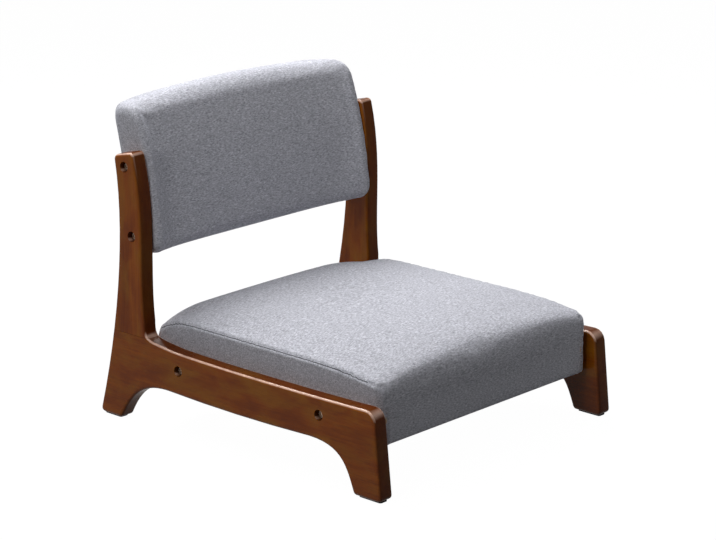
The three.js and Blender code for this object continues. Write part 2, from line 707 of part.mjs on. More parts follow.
function endBlock(side, grow) {
  return sideBox(side,
    [woodHalfWidth - endBlockWidth - grow, -endBlockFrontDepth - grow, -endBlockOverhang - grow],
    [woodHalfWidth + grow, endBlockRearDepth + grow, backBoltSpacing + endBlockOverhang + grow]);
}

function back() {
  const core = backForm(coreInset);
  const boltLine = [place(0, 0), place(0, backBoltSpacing)];
  const bolts = [-1, 1].flatMap((side) => boltLine.map((bolt) => [side, bolt]));
  const coverHoles = bolts.map(([side, bolt]) => coverHole(side, bolt));
  const insertHoles = bolts.map(([side, bolt]) => insertHole(side, bolt));
  const blocksWithRoom = [-1, 1].map((side) => endBlock(side, fitGap));
  const far = overallWidth;
  const panelRear = backPanelDepth + backPanelThickness;
  const padding = (frontDepth, rearDepth) => cutFrom(
    core.intersect(bowedSlab(frontDepth, rearDepth, cushionHalfWidth, -far, far)), blocksWithRoom);
  const panel = bowedSlab(backPanelDepth, panelRear, woodHalfWidth - endBlockWidth - fitGap,
    backPanelMargin - backBottomDrop, backTopRise - backPanelMargin);
  const group = new THREE.Group();
  group.position.set(0, backLowerBoltReach, backLowerBoltHeight);
  group.rotation.x = -backLean;
  const cover = cutFrom(backForm(0), [backForm(coverThickness), ...coverHoles]);
  group.add(piece('backrest_cover', cover, seatFabric()));
  group.add(piece('backrest_front_foam', padding(-far, backPanelDepth - fitGap), paddingFoam()));
  group.add(piece('backrest_rear_foam', padding(panelRear + fitGap, far), paddingFoam()));
  group.add(piece('backrest_panel', panel, innerWood()));
  const blockIn = (side) => cutFrom(endBlock(side, 0).intersect(core), insertHoles);
  group.add(piece('right_backrest_end_block', blockIn(-1), innerWood()));
  group.add(piece('left_backrest_end_block', blockIn(1), innerWood()));
  return group;
}

// Assembly
function chair() {
  const group = new THREE.Group();
  Object.entries({ right: -1, left: 1 }).forEach(([sideName, side]) => {
    group.add(sideFrame(side, sideName));
    Object.entries({ ...seatBolts, ...backBolts }).forEach(([name, bolt]) => {
      group.add(boltSet(side, `${sideName}_${name}`, bolt));
    });
  });
  group.add(seat());
  group.add(back());
  group.position.y = -originReach;
  return group;
}

export default chair();
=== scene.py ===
"""Looks of a low floor chair: lacquered wooden side frames, a sewn and padded seat and a curved padded back.

Metres, +Z up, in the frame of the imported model. The sitter faces -Y, and the sitter's right is -X.
"""
import math

import bmesh
import bpy
import numpy as np
from mathutils import Matrix, Vector
from mathutils.bvhtree import BVHTree
from mathutils.kdtree import KDTree


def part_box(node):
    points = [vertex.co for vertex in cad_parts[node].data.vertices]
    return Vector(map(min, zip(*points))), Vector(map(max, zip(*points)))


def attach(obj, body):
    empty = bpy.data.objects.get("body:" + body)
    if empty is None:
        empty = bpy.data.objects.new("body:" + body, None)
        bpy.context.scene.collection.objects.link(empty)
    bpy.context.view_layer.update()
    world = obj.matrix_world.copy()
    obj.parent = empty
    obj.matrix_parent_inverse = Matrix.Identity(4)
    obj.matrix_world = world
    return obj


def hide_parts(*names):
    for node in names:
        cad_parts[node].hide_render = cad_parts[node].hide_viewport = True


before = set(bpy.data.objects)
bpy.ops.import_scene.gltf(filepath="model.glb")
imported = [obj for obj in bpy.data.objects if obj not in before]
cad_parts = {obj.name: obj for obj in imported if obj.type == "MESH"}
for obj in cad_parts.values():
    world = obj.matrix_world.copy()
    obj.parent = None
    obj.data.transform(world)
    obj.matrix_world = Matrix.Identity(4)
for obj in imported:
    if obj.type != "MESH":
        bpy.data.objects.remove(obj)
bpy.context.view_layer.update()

MM = 0.001

# Seat cushion
SEAT_LOW, SEAT_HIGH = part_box("seat_cover")
SEAT_SEAM_HEIGHT = 155 * MM
SEAT_CROWN_HEIGHT = 13 * MM
SEAT_CROWN_POWER = 3
SEAT_CROWN_FLATNESS = 0.4
SEAT_REAR_CORNER_FALL = 26 * MM
SEAT_REAR_CORNER_REACH = 93 * MM
SEAT_FRONT_CORNER_FALL = 9 * MM
SEAT_FRONT_CORNER_REACH = 140 * MM
SEAT_REAR_FALL = 11 * MM
SEAT_REAR_FALL_REACH = 70 * MM
SEAT_EDGE_FULLNESS = 2.7
SEAT_SIDE_EDGE = 5 * MM
SEAT_FRONT_EDGE = 22 * MM
SEAT_REAR_EDGE = 22 * MM
SEAT_FRONT_CORNER = 14 * MM
SEAT_REAR_CORNER = 45 * MM
SEAT_BOTTOM_EDGE = 3 * MM
SEAT_BOXING_MIDDLE = 114 * MM
SEAT_BOXING_DRAW_IN = 0.8 * MM
SEAT_HARD_HEIGHT = 112 * MM  # up to here the cover is stretched over the wooden seat frame
SEAT_SWELL_LIMIT = 5 * MM
SEAT_SEAM_START = 2 * MM  # above the underside
SEAT_FRONT_SEAM_SHARE = 0.8  # of the front's height, up which the seam runs before it turns back
SEAT_SEAM_POINTS = (10, 12)  # up the front, and down the rear
SEAT_CORNER_STEPS = 8
SEAT_SIDE_STEPS = 24
SEAT_EDGE_STEPS = 10
SEAT_CROWN_STEPS = 16

# Back cushion, in its own leaning frame: Y backward through the cushion, Z up along it, from the lower bolts
BACK_LEAN = math.radians(7)
BACK_FRONT_DEPTH = 30 * MM
BACK_REAR_DEPTH = 33 * MM
BACK_BOTTOM_DROP = 30.5 * MM
BACK_TOP_RISE = 178 * MM
BACK_SAGITTA = 20 * MM
BACK_BOW_POWER = 5
BACK_TOP_ARCH = 10 * MM
BACK_TOP_FRONT_SET_BACK = 22 * MM
BACK_TOP_REAR_SET_BACK = 12 * MM
BACK_BELLY_RISE = 12 * MM
BACK_END_RADIUS = 14 * MM
BACK_END_FRONT_SHARE = 0.65  # of the end's edge radius, by which the edge draws in at the front
BACK_RADII = (15 * MM, 22 * MM, 22 * MM, 17 * MM)  # bottom rear, top rear, top front, bottom front
BACK_RADII_SHARE = 0.6  # of how far the end draws in, by which these radii shrink
# The front sinks in beside each end panel, where the padding stops short of it: less over the end blocks' tops
BACK_HOLLOW_HEIGHTS = (-30 * MM, -10 * MM, 20 * MM, 60 * MM, 80 * MM, 108 * MM, 130 * MM, 150 * MM, 178 * MM)
BACK_HOLLOW_DEPTHS = (2 * MM, 7 * MM, 10 * MM, 10 * MM, 8 * MM, 3.4 * MM, 4.5 * MM, 4.5 * MM, 1.5 * MM)
BACK_HOLLOW_TOP_PLACE = 25 * MM  # from the end panel
BACK_HOLLOW_WIDENING = 27 * MM  # from the top of the cushion to its lower bolts
BACK_HOLLOW_EASE = 28 * MM
BACK_LEFT_HOLLOW_SHARE = 0.35  # of the right hollow's depth, as the sitter leans
BACK_HOLLOW_ROUNDING = 4 * MM
BACK_SEAM_ANGLE = math.radians(55)  # round the end's edge, from the end panel to the front
BACK_SWELL_LIMIT = 1.5 * MM
BACK_END_PANEL = 1.5 * MM  # the cover lies flat this near to the side frames
BACK_CORNER_STEPS = 8
BACK_SIDE_STEPS = 16
BACK_STATIONS = 41
BACK_END_STEPS = 6
BACK_CAP_STEPS = 8

# Both cushions
VOXEL = 5 * MM
CLOTH_FRAMES = 20
CLOTH_PRESSURE = 4
PIN_REACH = 4 * MM
EVENING_STEPS = 6

# Seams
SEAT_GROOVE_DEPTH = 1.6 * MM
BACK_GROOVE_DEPTH = 0.8 * MM
GROOVE_REACH = 2.2 * MM
WELT_SHARE = 0.3  # of the groove's depth
WELT_PLACE = 5.5 * MM
PUCKER_HEIGHT = 0.3 * MM
PUCKER_LENGTH = 17 * MM
PUCKER_REACH = 14 * MM
PUCKER_DRIFT = (1.3, 0.37)  # how far and how slowly the puckers fall out of step along a seam
THREAD_RADIUS = 0.55 * MM
SEAM_POINT_SPACING = 2 * MM
STITCHES_FROM = SEAT_LOW.y + 22 * MM  # the seams turn into plain folds in front of this

# Boards and bolts
WELD_DISTANCE = 1e-6
BOARD_CREASE = math.radians(35)
BOLT_CREASE = math.radians(30)
BOLT_STEPS = 24
BOLT_RADIUS = 3.0 * MM
BOLT_HEAD_HEIGHT = 4.5 * MM
BOLT_HEAD_ROUNDING = 0.8 * MM
BOLT_CHAMFER = 0.3 * MM
BOLT_SOCKET_RADIUS = 2.9 * MM
BOLT_SOCKET_DEPTH = 2.4 * MM

# Camera at the photograph's viewpoint
CAMERA_PLACE = Vector((-2.51229, -2.32709, 1.20015))
CAMERA_AZIMUTH = math.radians(-47.3147)
CAMERA_ELEVATION = math.radians(16.1513)
FOCAL_PIXELS = 2574.13
IMAGE_WIDTH_PIXELS = 716
SENSOR_WIDTH = 36

# Studio
FLOOR_REACH = 4.0
FLOOR_DROP = 0.2 * MM
FLOOR_TONE = (0.25, 0.25, 0.25, 1)
FLOOR_GLOW = 1.10  # white once the share of shadow below is taken off
FLOOR_SHADOW_SHARE = 0.10
AMBIENT_STRENGTH = 0.03
LAMP_TARGET = Vector((0, 0, 0.2))
LAMPS = (  # place, width and power
    ("overhead", (0.10, 0.60, 1.50), 0.5, 8),
    ("overhead_behind", (0.0, 1.15, 2.0), 0.9, 26),
    ("high_left_behind", (1.15, 1.15, 1.6), 0.9, 17),
    ("high_right", (-1.15, 0.0, 2.0), 0.9, 17),
    ("low_right", (-2.0, -0.5, 1.0), 0.5, 3),
    ("front_fill", (1.15, -1.15, 1.6), 0.9, 6.5),
)


# ---------------------------------------------------------------- materials
class Nodes:
    """A material and a short way to add and join its nodes."""

    def __init__(self, name):
        self.material = bpy.data.materials.new(name)
        self.material.use_nodes = True
        self.tree = self.material.node_tree
        self.shader = self.tree.nodes["Principled BSDF"]
        self.place = self.add("ShaderNodeTexCoord").outputs["Object"]

    def add(self, kind, inputs=None, **settings):
        node = self.tree.nodes.new(kind)
        for key, value in settings.items():
            setattr(node, key, value)
        for key, value in (inputs or {}).items():
            self.feed(node.inputs[key], value)
        return node

    def feed(self, socket, value):
        if isinstance(value, bpy.types.NodeSocket):
            self.tree.links.new(value, socket)
        else:
            socket.default_value = value

    def stretched(self, scale):
        return self.add("ShaderNodeMapping", {"Vector": self.place, "Scale": scale}).outputs["Vector"]

    def grain(self, along, across_scale, lengthwise_scale):
        """The place, scaled for wood whose grain runs along the named axis."""
        return self.stretched([lengthwise_scale if axis == along else across_scale for axis in "XYZ"])

    def noise(self, vector, scale, detail, roughness, distortion=0.0):
        values = {"Vector": vector, "Scale": scale, "Detail": detail, "Roughness": roughness, "Distortion": distortion}
        return self.add("ShaderNodeTexNoise", values).outputs["Fac"]

    def maths(self, operation, first, second=0.0):
        return self.add("ShaderNodeMath", {0: first, 1: second}, operation=operation).outputs[0]

    def ramp(self, factor, stops):
        node = self.add("ShaderNodeValToRGB", {"Fac": factor})
        elements = node.color_ramp.elements
        while len(elements) < len(stops):
            elements.new(0.5)
        for element, (place, colour) in zip(elements, stops):
            element.position = place
            element.color = (*colour, 1)
        return node.outputs["Color"]

    def spread(self, factor, low, high, to_low=0.0, to_high=1.0):
        values = {"Value": factor, "From Min": low, "From Max": high, "To Min": to_low, "To Max": to_high}
        return self.add("ShaderNodeMapRange", values).outputs["Result"]

    def mix(self, factor, first, second):
        node = self.add("ShaderNodeMix", data_type="RGBA")
        self.feed(node.inputs["Factor"], factor)
        self.feed(node.inputs[6], first)
        self.feed(node.inputs[7], second)
        return node.outputs[2]

    def bump(self, height, distance, strength=1.0):
        values = {"Height": height, "Distance": distance, "Strength": strength}
        return self.add("ShaderNodeBump", values).outputs["Normal"]

    def finish(self, **inputs):
        for key, value in inputs.items():
            self.feed(self.shader.inputs[key.replace("_", " ")], value)
        return self.material


def lacquered_wood(name, along):
    """Stained, lacquered hardwood with its grain along one axis of the chair.

    The boards' edges are coloured darker than their broad sides, which face X: painted shade.
    The arrises between them and where the edges turn up are coloured pale, partly as rubbed lacquer
    and partly as a painted highlight.
    """
    n = Nodes(name)
    figure = n.noise(n.grain(along, 26, 3.2), 1.0, 3, 0.55, 1.2)
    streaks = n.noise(n.grain(along, 300, 9), 1.0, 5, 0.65, 0.2)
    pores = n.noise(n.grain(along, 1500, 45), 1.0, 2, 0.6)
    tone = n.maths("ADD", n.maths("MULTIPLY", figure, 0.55), n.maths("MULTIPLY", streaks, 0.45))
    colour = n.ramp(tone, [
        (0.30, (0.140, 0.0280, 0.0020)),
        (0.46, (0.235, 0.0510, 0.0020)),
        (0.58, (0.300, 0.0700, 0.0025)),
        (0.74, (0.380, 0.1000, 0.0050)),
    ])
    cloud = n.noise(n.grain(along, 34, 15), 1.0, 3, 0.5, 0.4)
    amber, russet = (0.320, 0.1150, 0.0070, 1), (0.180, 0.0310, 0.0020, 1)
    colour = n.mix(n.spread(cloud, 0.46, 0.66, 0.0, 0.70), colour, amber)
    colour = n.mix(n.spread(cloud, 0.32, 0.46, 0.60, 0.0), colour, russet)
    pore_mask = n.spread(pores, 0.60, 0.72)
    colour = n.mix(n.maths("MULTIPLY", pore_mask, 0.55), colour, (0.045, 0.013, 0.005, 1))

    facing = n.add("ShaderNodeSeparateXYZ", {0: n.add("ShaderNodeTexCoord").outputs["Normal"]}).outputs
    sideways = n.maths("ABSOLUTE", facing["X"])
    # painted shade: every face that doesn't face X, the boards' edges, tops and undersides, is coloured darker
    painted_edge_shade = (0.038, 0.0075, 0.0020, 1)
    colour = n.mix(n.spread(sideways, 0.45, 0.96, 0.70, 0.0), colour, painted_edge_shade)

    wear = n.noise(n.place, 38, 4, 0.6)
    # pale colour where the arrises and shoulders turn up: rubbed lacquer, broken up by wear noise, and a painted
    # highlight
    off_side = n.spread(sideways, 0.80, 0.92, 1.0, 0.0)
    arris_highlight = n.maths("MULTIPLY", n.spread(sideways, 0.12, 0.30), off_side)
    arris_highlight = n.maths("MULTIPLY", n.spread(facing["Z"], 0.15, 0.5, 0.0, 0.95), arris_highlight)
    shoulder_highlight = n.maths("MULTIPLY", n.spread(facing["Z"], 0.35, 0.60), n.spread(facing["Z"], 0.80, 0.97, 0.45, 0.0))
    rubbed_and_highlight = n.maths("MAXIMUM", arris_highlight, n.maths("MULTIPLY", shoulder_highlight, off_side))
    rubbed_and_highlight = n.maths("MULTIPLY", rubbed_and_highlight, n.spread(wear, 0.30, 0.55, 0.60, 1.0))
    pale_rubbed_and_highlight = (0.780, 0.500, 0.380, 1)
    colour = n.mix(rubbed_and_highlight, colour, pale_rubbed_and_highlight)
    height = n.maths("SUBTRACT", n.maths("MULTIPLY", streaks, 0.5), n.maths("MULTIPLY", pore_mask, 0.6))
    return n.finish(
        Base_Color=colour,
        Roughness=n.spread(wear, 0.35, 0.65, 0.24, 0.34),
        Normal=n.bump(height, 0.12 * MM, 0.5),
        Specular_IOR_Level=0.02,
        Coat_Weight=n.maths("ADD", n.spread(sideways, 0.40, 0.95, 0.05, 0.18), n.maths("MULTIPLY", rubbed_and_highlight, 0.40)),
        Coat_Roughness=0.10,
    )


def bare_wood(name, along):
    """Unfinished softwood or plywood, inside the cushions."""
    n = Nodes(name)
    rings = n.noise(n.grain(along, 90, 5), 1.0, 4, 0.6, 0.8)
    colour = n.ramp(rings, [(0.3, (0.42, 0.27, 0.13)), (0.5, (0.58, 0.41, 0.22)), (0.7, (0.68, 0.52, 0.31))])
    return n.finish(Base_Color=colour, Roughness=0.75, Normal=n.bump(rings, 0.15 * MM, 0.4))


def upholstery(name):
    """Heathered blue-grey plain weave, mottled mostly in streaks across the chair."""
    n = Nodes(name)
    mottle = n.noise(n.stretched((230, 560, 760)), 1.0, 3, 0.6)
    slub = n.noise(n.stretched((900, 260, 900)), 1.0, 2, 0.5)
    slub_across = n.noise(n.stretched((260, 900, 900)), 1.0, 2, 0.5)
    yarn = n.noise(n.place, 1500, 2, 0.5)
    heather = n.maths("ADD", n.maths("MULTIPLY", mottle, 0.60), n.maths("MULTIPLY", yarn, 0.15))
    heather = n.maths("ADD", heather, n.maths("MULTIPLY", n.maths("ADD", slub, slub_across), 0.125))
    colour = n.ramp(heather, [
        (0.36, (0.205, 0.207, 0.234)),
        (0.46, (0.395, 0.398, 0.444)),
        (0.54, (0.535, 0.538, 0.590)),
        (0.64, (0.770, 0.772, 0.820)),
    ])
    shaded = n.noise(n.place, 14, 2, 0.5)
    colour = n.mix(n.spread(shaded, 0.3, 0.7, 0.0, 0.08), colour, (0.30, 0.303, 0.333, 1))
    yarn_turn = 5200.0  # of a wave with one yarn to a turn, in radians to the metre
    along = n.add("ShaderNodeSeparateXYZ", {0: n.place}).outputs
    waves = [n.maths("SINE", n.maths("MULTIPLY", along[axis], yarn_turn)) for axis in range(3)]
    weave = n.maths("MULTIPLY", n.maths("ADD", waves[0], waves[1]), n.maths("ADD", waves[2], waves[1]))
    height = n.maths("ADD", n.maths("MULTIPLY", weave, 0.12), n.maths("ADD", yarn, mottle))
    return n.finish(
        Base_Color=colour,
        Roughness=0.92,
        Normal=n.bump(height, 0.55 * MM, 0.7),
        Specular_IOR_Level=0.25,
        Sheen_Weight=0.25,
        Sheen_Roughness=0.45,
        Sheen_Tint=(0.86, 0.88, 1.0, 1),
    )


def soft_stuff(name, dark, light, scale, depth):
    """Felt, lining or foam: a fine fibrous or cellular surface in two close tones."""
    n = Nodes(name)
    fibres = n.noise(n.place, scale, 5, 0.7)
    colour = n.ramp(fibres, [(0.35, dark), (0.65, light)])
    return n.finish(Base_Color=colour, Roughness=0.95, Normal=n.bump(fibres, depth, 0.8), Specular_IOR_Level=0.1)


def browned_steel(name):
    """Browned steel, lighter where it is worn."""
    n = Nodes(name)
    wear = n.noise(n.place, 900, 4, 0.6)
    colour = n.ramp(wear, [(0.35, (0.26, 0.19, 0.14)), (0.60, (0.46, 0.36, 0.28))])
    return n.finish(
        Base_Color=colour, Metallic=1.0, Roughness=n.spread(wear, 0.3, 0.7, 0.30, 0.45),
        Normal=n.bump(wear, 0.05 * MM, 0.5))


def thread(name):
    """Dark twisted sewing thread."""
    n = Nodes(name)
    twist = n.noise(n.place, 2500, 2, 0.5)
    colour = n.ramp(twist, [(0.4, (0.030, 0.031, 0.036)), (0.6, (0.075, 0.077, 0.088))])
    return n.finish(Base_Color=colour, Roughness=0.8, Normal=n.bump(twist, 0.1 * MM))


MATERIALS = {
    "wood_lengthwise": lacquered_wood("lacquered_wood_lengthwise", "Y"),
    "wood_upright": lacquered_wood("lacquered_wood_upright", "Z"),
    "wood_across": bare_wood("bare_wood_across", "X"),
    "wood_bare": bare_wood("bare_wood_lengthwise", "Y"),
    "fabric": upholstery("upholstery_fabric"),
    "foam": soft_stuff("padding_foam", (0.70, 0.62, 0.42), (0.84, 0.79, 0.60), 900, 0.5 * MM),
    "felt": soft_stuff("felt", (0.010, 0.008, 0.007), (0.030, 0.025, 0.022), 2200, 0.4 * MM),
    "lining": soft_stuff("lining_cloth", (0.008, 0.008, 0.009), (0.024, 0.024, 0.026), 1400, 0.2 * MM),
    "steel": browned_steel("bolt_steel"),
    "thread": thread("seam_thread"),
}


# ---------------------------------------------------------------- meshes
def new_piece(name, vertices, faces, material, slot):
    """A smooth-shaded mesh on the body named root."""
    mesh = bpy.data.meshes.new(name)
    mesh.from_pydata([tuple(v) for v in vertices], [], [tuple(f) for f in faces])
    mesh.polygons.foreach_set("use_smooth", [True] * len(mesh.polygons))
    mesh.materials.append(MATERIALS[material])
    piece = bpy.data.objects.new(name, mesh)
    bpy.context.scene.collection.objects.link(piece)
    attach(piece, "root")
    return piece


def mark_creases(piece, crease, recalculate=False):
    """Keeps the shading sharp where two faces meet at more than the crease angle."""
    work = bmesh.new()
    work.from_mesh(piece.data)
    if recalculate:
        bmesh.ops.recalc_face_normals(work, faces=work.faces)
    for edge in work.edges:
        if len(edge.link_faces) == 2 and edge.calc_face_angle(0) > crease:
            edge.smooth = False
    work.to_mesh(piece.data)
    work.free()


def loft(rings):
    """Vertices and faces of a closed skin through rings, counter-clockwise when seen from the last one."""
    count = len(rings[0])
    vertices = [Vector(p) for ring in rings for p in ring]
    vertices += [sum((Vector(p) for p in ring), Vector()) / count for ring in (rings[0], rings[-1])]
    first_middle, last_middle = len(vertices) - 2, len(vertices) - 1
    faces = []
    for r in range(len(rings) - 1):
        for i in range(count):
            j = (i + 1) % count
            faces.append((r * count + i, r * count + j, (r + 1) * count + j, (r + 1) * count + i))
    last = (len(rings) - 1) * count
    for i in range(count):
        j = (i + 1) % count
        faces.append((first_middle, j, i))
        faces.append((last_middle, last + i, last + j))
    return vertices, faces


def rounded_rectangle(low, high, radii, corner_steps, side_steps):
    """Points and outward directions; radii run low right, high right, high left, low left."""
    corners = [
        ((high[0], low[1]), (-1, 1)),
        ((high[0], high[1]), (-1, -1)),
        ((low[0], high[1]), (1, -1)),
        ((low[0], low[1]), (1, 1)),
    ]
    arcs = []
    for k, ((x, y), (inward_x, inward_y)) in enumerate(corners):
        centre = (x + inward_x * radii[k], y + inward_y * radii[k])
        arc = []
        for i in range(corner_steps + 1):
            angle = (k - 1 + i / corner_steps) * math.pi / 2
            outward = (math.cos(angle), math.sin(angle))
            arc.append(((centre[0] + radii[k] * outward[0], centre[1] + radii[k] * outward[1]), outward))
        arcs.append(arc)
    points = []
    for k, arc in enumerate(arcs):
        points += arc
        (from_x, from_y), outward = arc[-1]
        to_x, to_y = arcs[(k + 1) % 4][0][0]
        for i in range(1, side_steps):
            t = i / side_steps
            points.append(((from_x + (to_x - from_x) * t, from_y + (to_y - from_y) * t), outward))
    return points


def smooth_copy(node, name, material, slot):
    """A carried-over CAD solid with its facets shaded as the round surfaces that they stand for."""
    work = bmesh.new()
    work.from_mesh(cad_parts[node].data)
    bmesh.ops.remove_doubles(work, verts=work.verts, dist=WELD_DISTANCE)
    work.verts.ensure_lookup_table()
    vertices = [v.co.copy() for v in work.verts]
    faces = [[v.index for v in f.verts] for f in work.faces]
    work.free()
    piece = new_piece(name, vertices, faces, material, slot)
    mark_creases(piece, BOARD_CREASE)
    weighted = piece.modifiers.new("face_weighted_normals", "WEIGHTED_NORMAL")
    weighted.keep_sharp = True
    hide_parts(node)


# ---------------------------------------------------------------- seat cushion
def seat_top(x, y):
    """Height of the crowned top, which falls towards the corners and the rear."""
    half_width = SEAT_HIGH.x
    middle = (SEAT_HIGH.y + SEAT_LOW.y) / 2
    half_depth = (SEAT_HIGH.y - SEAT_LOW.y) / 2
    def fall(share):
        return (1 - min(1, abs(share)) ** SEAT_CROWN_POWER) ** SEAT_CROWN_FLATNESS
    crown = SEAT_CROWN_HEIGHT * fall(x / half_width) * fall((y - middle) / half_depth)
    def fading(distance, reach):
        return max(0, 1 - distance / reach) ** 2
    to_side, to_front, to_rear = half_width - abs(x), y - SEAT_LOW.y, SEAT_HIGH.y - y
    front_corner = SEAT_FRONT_CORNER_FALL * fading(math.hypot(to_side, to_front), SEAT_FRONT_CORNER_REACH)
    rear_corner = SEAT_REAR_CORNER_FALL * fading(math.hypot(to_side, to_rear), SEAT_REAR_CORNER_REACH)
    rear = SEAT_REAR_FALL * fading(to_rear, SEAT_REAR_FALL_REACH)
    return SEAT_SEAM_HEIGHT + crown - front_corner - rear_corner - rear


def seat_outline(side_draw_in, front_draw_in, rear_draw_in):
    low = (SEAT_LOW.x + side_draw_in, SEAT_LOW.y + front_draw_in)
    high = (SEAT_HIGH.x - side_draw_in, SEAT_HIGH.y - rear_draw_in)
    front = SEAT_FRONT_CORNER - (side_draw_in + front_draw_in) / 4
    rear = SEAT_REAR_CORNER - (side_draw_in + rear_draw_in) / 2
    return rounded_rectangle(low, high, (front, rear, rear, front), SEAT_CORNER_STEPS, SEAT_SIDE_STEPS)


def seat_edge_ring(turn_share):
    """A line round the top's edge, from the boxing, at 0, to the top panel, at 1."""
    angle = turn_share * math.pi / 2
    inward_share = 1 - math.cos(angle) ** (2 / SEAT_EDGE_FULLNESS)
    down_share = 1 - math.sin(angle) ** (2 / SEAT_EDGE_FULLNESS)
    draw_ins = [radius * inward_share for radius in (SEAT_SIDE_EDGE, SEAT_FRONT_EDGE, SEAT_REAR_EDGE)]
    ring = []
    for (x, y), outward in seat_outline(*draw_ins):
        end_radius = SEAT_FRONT_EDGE if outward[1] < 0 else SEAT_REAR_EDGE
        radius = SEAT_SIDE_EDGE * outward[0] ** 2 + end_radius * outward[1] ** 2
        ring.append((x, y, seat_top(x, y) - radius * down_share))
    return ring


def seat_rings():
    def level(height, draw_in):
        return [(x, y, height) for (x, y), _ in seat_outline(draw_in, draw_in, draw_in)]
    edge = [seat_edge_ring(i / SEAT_EDGE_STEPS) for i in range(SEAT_EDGE_STEPS + 1)]
    middle_y = (SEAT_HIGH.y + SEAT_LOW.y) / 2
    crown = []
    for i in range(1, SEAT_CROWN_STEPS):
        share = 1 - i / SEAT_CROWN_STEPS
        ring = []
        for x, y, _ in edge[-1]:
            px, py = x * share, middle_y + (y - middle_y) * share
            ring.append((px, py, seat_top(px, py)))
        crown.append(ring)
    base = SEAT_LOW.z
    return [
        level(base, SEAT_BOTTOM_EDGE),
        level(base + SEAT_BOTTOM_EDGE / 3, SEAT_BOTTOM_EDGE / 3),
        level(base + SEAT_BOTTOM_EDGE, 0),
        level(SEAT_BOXING_MIDDLE, SEAT_BOXING_DRAW_IN),
        *edge,
        *crown,
    ]


def seat_seam(side):
    """Up the front, round its corner, back along the side's top edge and down the rear corner."""
    edge = seat_edge_ring(0.5)
    per_corner = SEAT_CORNER_STEPS + SEAT_SIDE_STEPS
    if side > 0:
        top = edge[:per_corner + SEAT_CORNER_STEPS // 2 + 1]
    else:
        start = 2 * per_corner + SEAT_CORNER_STEPS // 2
        top = edge[start:3 * per_corner + SEAT_CORNER_STEPS + 1][::-1]
    front, rear = top[0], top[-1]
    low = SEAT_LOW.z + SEAT_SEAM_START
    rising = np.linspace(0, SEAT_FRONT_SEAM_SHARE, SEAT_SEAM_POINTS[0])
    falling = np.linspace(0, 1, SEAT_SEAM_POINTS[1])[1:]
    front_run = [(front[0], SEAT_LOW.y, low + (front[2] - low) * t) for t in rising]
    rear_run = [(rear[0], rear[1], rear[2] + (low - rear[2]) * t) for t in falling]
    return [Vector(p) for p in [*front_run, *top, *rear_run]]


# ---------------------------------------------------------------- back cushion
def back_place():
    """From the cushion's own frame, at the lower bolts, to the chair's."""
    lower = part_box("right_back_lower_bolt")
    middle = (lower[0] + lower[1]) / 2
    return Matrix.Translation((0, middle.y, middle.z)) @ Matrix.Rotation(-BACK_LEAN, 4, "X")


def back_section(x, drawn_in):
    """A line round the cushion, seen from its end, drawn in where the end's edge turns."""
    half_width = SEAT_HIGH.x
    low = (drawn_in * BACK_END_FRONT_SHARE - BACK_FRONT_DEPTH, drawn_in - BACK_BOTTOM_DROP)
    high = (BACK_REAR_DEPTH - drawn_in, BACK_TOP_RISE - drawn_in)
    radii = [radius - drawn_in * BACK_RADII_SHARE for radius in BACK_RADII]
    bow = BACK_SAGITTA * (1 - abs(x / half_width) ** BACK_BOW_POWER)
    arch = BACK_TOP_ARCH * (1 - (x / half_width) ** 2)
    section = []
    for (y, z), _ in rounded_rectangle(low, high, radii, BACK_CORNER_STEPS, BACK_SIDE_STEPS):
        rise = max(0, z - BACK_BELLY_RISE) / (BACK_TOP_RISE - BACK_BELLY_RISE)
        front_share = (high[0] - y) / (high[0] - low[0])
        height = (z + BACK_BOTTOM_DROP) / (BACK_TOP_RISE + BACK_BOTTOM_DROP)
        set_back = BACK_TOP_REAR_SET_BACK + (BACK_TOP_FRONT_SET_BACK - BACK_TOP_REAR_SET_BACK) * front_share
        section.append((x, y + set_back * rise ** 2 + bow, z + arch * height))
    return section


def back_rings():
    straight = SEAT_HIGH.x - BACK_END_RADIUS
    middle = [back_section(x, 0) for x in np.linspace(-straight, straight, BACK_STATIONS)[1:-1]]
    def end(side):
        rings = []
        for i in range(BACK_END_STEPS + 1):
            angle = (1 - i / BACK_END_STEPS) * math.pi / 2
            x = side * (straight + BACK_END_RADIUS * math.cos(angle))
            rings.append(back_section(x, BACK_END_RADIUS * (1 - math.sin(angle))))
        return rings
    def cap(ring):
        centre = sum((Vector(p) for p in ring), Vector()) / len(ring)
        steps = BACK_CAP_STEPS
        return [[tuple(Vector(p).lerp(centre, i / steps)) for p in ring] for i in range(1, steps)]
    right, left = end(-1), end(1)
    rings = [*cap(right[-1])[::-1], *right[::-1], *middle, *left, *cap(left[-1])]
    place = back_place()
    return [[tuple(place @ Vector(p)) for p in ring] for ring in rings]


def back_seam(side):
    """Round the end panel, where it turns into the front, the top, the rear and the underside."""
    place = back_place()
    x = side * (SEAT_HIGH.x - BACK_END_RADIUS * (1 - math.cos(BACK_SEAM_ANGLE)))
    ring = [place @ Vector(p) for p in back_section(x, BACK_END_RADIUS * (1 - math.sin(BACK_SEAM_ANGLE)))]
    return [*ring, ring[0]]


# ---------------------------------------------------------------- cloth
def apply_modifiers(piece):
    bpy.context.view_layer.update()
    evaluated = piece.evaluated_get(bpy.context.evaluated_depsgraph_get())
    mesh = bpy.data.meshes.new_from_object(evaluated)
    piece.modifiers.clear()
    old, piece.data = piece.data, mesh
    mesh.name = piece.name
    bpy.data.meshes.remove(old)


def dense(points):
    """The same line with its points closer together."""
    found = [points[0]]
    for start, end in zip(points, points[1:]):
        count = max(1, round((end - start).length / SEAM_POINT_SPACING))
        found += [start.lerp(end, i / count) for i in range(1, count + 1)]
    return found


def nearest_on(lines):
    """A search tree of the lines' points, and how far along its line each point lies."""
    tree = KDTree(sum(len(line) for line in lines))
    index, along = 0, []
    for line in lines:
        run = 0.0
        for i, point in enumerate(line):
            run += (point - line[i - 1]).length if i else 0
            tree.insert(point, index)
            along.append(run)
            index += 1
    tree.balance()
    return tree, along


